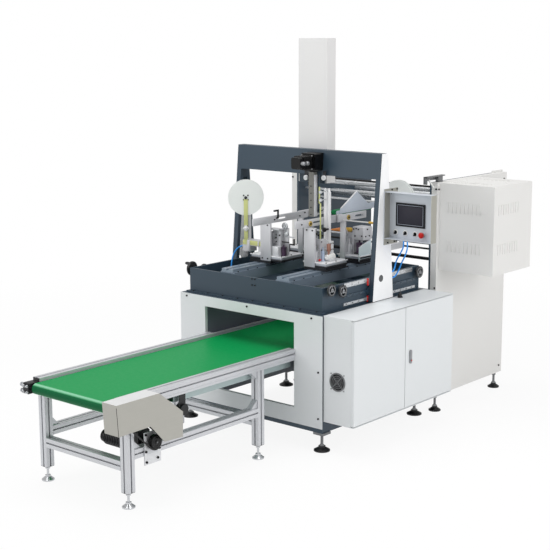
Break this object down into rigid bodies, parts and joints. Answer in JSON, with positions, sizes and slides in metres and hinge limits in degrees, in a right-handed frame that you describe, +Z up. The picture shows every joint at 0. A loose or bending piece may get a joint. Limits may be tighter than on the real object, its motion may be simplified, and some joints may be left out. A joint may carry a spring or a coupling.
{
  "type": "box making machine",
  "caption": "Floor-standing box making machine with a tape-head table, portal gantry, electrical cabinet, rear feed section and a green output conveyor.",
  "frame": {"origin": "floor point under the left front levelling foot of the base", "axes": "+Z up, +Y from the conveyor end to the feed end, +X to the electrical cabinet side"},
  "size_m": [1.8488, 3.88, 2.711],
  "materials": {
    "slate_paint": "satin slate paint",
    "white_paint": "fine textured off-white powder coat",
    "black_metal": "black paint",
    "dark_metal": "dark satin",
    "lock_metal": "satin",
    "black_plastic": "matte black",
    "rail_steel": "ground",
    "ground_steel": "ground",
    "grey_metal": "light grey satin",
    "reel_plastic": "white plastic disc",
    "red_plastic": "red plastic",
    "belt_green": "smooth green belt",
    "aluminium": "anodised extrusion",
    "foot_chrome": "chrome plated",
    "pan_metal": "grey paint",
    "guard_metal": "satin beige grey",
    "panel_steel": "satin panel",
    "blue_tube": "blue air tube",
    "black_rubber": "rubber"
  },
  "bodies": {
    "machine": {"base_frame": "slate_paint", "base_panels": "white_paint", "levelling_feet": "black_metal", "cabinet_shell": "white_paint", "fan_grille": "black_plastic", "tray_plates": "slate_paint", "side_rails": "rail_steel", "slide_beams": "rail_steel", "rear_walls": "white_paint", "rear_frame": "slate_paint", "feed_rollers": "rail_steel", "cross_bars": "black_metal", "feed_belt": "belt_green", "feed_belt_beam": "grey_metal", "vent_box": "white_paint", "conveyor_frame": "aluminium", "conveyor_feet": "foot_chrome", "conveyor_belt": "belt_green", "conveyor_bed": "grey_metal", "roller_bearings": "dark_metal", "belt_pan": "pan_metal", "drive_guard": "guard_metal", "drive_motor": "black_metal", "v_belt": "black_rubber"},
    "front_door": {"door_front": "white_paint"},
    "rear_door": {"door_rear": "white_paint", "door_lock": "lock_metal"},
    "gantry": {"gantry_frame": "slate_paint", "gantry_covers": "white_paint", "bearing_blocks": "rail_steel", "bearing_caps": "red_plastic", "tower_cover": "white_paint", "servo_motor": "black_metal", "control_box": "panel_steel", "screen_bezel": "black_plastic", "selector_buttons": "black_plastic", "stop_button": "red_plastic", "screen_air_tube_front": "blue_tube", "screen_air_tube_rear": "blue_tube"},
    "ram": {"ram_column": "grey_metal"},
    "front_heads": {"front_carriages": "dark_metal", "front_presses": "ground_steel", "front_horns": "grey_metal", "tape_guides": "grey_metal", "reel_stand": "dark_metal", "head_air_tube": "blue_tube"},
    "rear_heads": {"rear_carriages": "dark_metal", "rear_presses": "ground_steel", "rear_horns": "grey_metal", "rear_reel_stand": "dark_metal"},
    "reel": {"tape_reel": "reel_plastic"},
    "second_reel": {"rear_reel": "reel_plastic"},
    "front_wheel": {"handwheel_front": "black_plastic"},
    "second_wheel": {"handwheel_second": "black_plastic"},
    "rear_wheel": {"handwheel_rear": "black_plastic"},
    "left_wheel": {"handwheel_left": "black_plastic"},
    "crank": {"crank_wheel": "black_plastic"},
    "driven_roller": {"front_roller": "rail_steel"},
    "motor_shaft": {"motor_pulley": "black_metal"}
  },
  "joints": [
    {"name": "front_door_hinge", "type": "hinge", "parent": "machine", "child": "front_door", "pos_m": [1.49, -0.031, 0.574], "axis": [0, 0, -1], "range_deg": [0, 100]},
    {"name": "rear_door_hinge", "type": "hinge", "parent": "machine", "child": "rear_door", "pos_m": [1.49, 1.127, 0.574], "axis": [0, 0, 1], "range_deg": [0, 100]},
    {"name": "gantry_slide", "type": "slide", "parent": "machine", "child": "gantry", "axis": [0, 1, 0], "range_m": [-0.06, 0.06]},
    {"name": "ram_slide", "type": "slide", "parent": "gantry", "child": "ram", "axis": [0, 0, 1], "range_m": [-0.2, 0]},
    {"name": "front_heads_slide", "type": "slide", "parent": "machine", "child": "front_heads", "axis": [0, 1, 0], "range_m": [-0.04, 0.04]},
    {"name": "rear_heads_slide", "type": "slide", "parent": "machine", "child": "rear_heads", "axis": [0, 1, 0], "range_m": [-0.04, 0.04]},
    {"name": "reel_spin", "type": "hinge", "parent": "front_heads", "child": "reel", "pos_m": [0.143, 0.465, 1.573], "axis": [0.6157, -0.788, 0], "continuous": true},
    {"name": "second_reel_spin", "type": "hinge", "parent": "rear_heads", "child": "second_reel", "pos_m": [1.083, 1.055, 1.583], "axis": [0, -1, 0], "continuous": true},
    {"name": "front_wheel_spin", "type": "hinge", "parent": "machine", "child": "front_wheel", "pos_m": [1.238, 0.065, 1.084], "axis": [1, 0, 0], "continuous": true},
    {"name": "second_wheel_spin", "type": "hinge", "parent": "machine", "child": "second_wheel", "pos_m": [1.238, 0.188, 1.059], "axis": [1, 0, 0], "continuous": true},
    {"name": "rear_wheel_spin", "type": "hinge", "parent": "machine", "child": "rear_wheel", "pos_m": [1.238, 1.086, 1.061], "axis": [1, 0, 0], "continuous": true},
    {"name": "left_wheel_spin", "type": "hinge", "parent": "machine", "child": "left_wheel", "pos_m": [-0.012, 0.188, 1.059], "axis": [-1, 0, 0], "continuous": true},
    {"name": "crank_spin", "type": "hinge", "parent": "machine", "child": "crank", "pos_m": [-0.012, 0.065, 1.084], "axis": [-1, 0, 0], "continuous": true},
    {"name": "roller_spin", "type": "hinge", "parent": "machine", "child": "driven_roller", "pos_m": [0.635, -1.642, 0.62], "axis": [1, 0, 0], "continuous": true},
    {"name": "motor_spin", "type": "hinge", "parent": "machine", "child": "motor_shaft", "pos_m": [1.053, -1.38, 0.376], "axis": [1, 0, 0], "continuous": true}
  ],
  "couplings": [
    {"joint": "motor_spin", "follows": "roller_spin", "ratio": 0.86364}
  ]
}
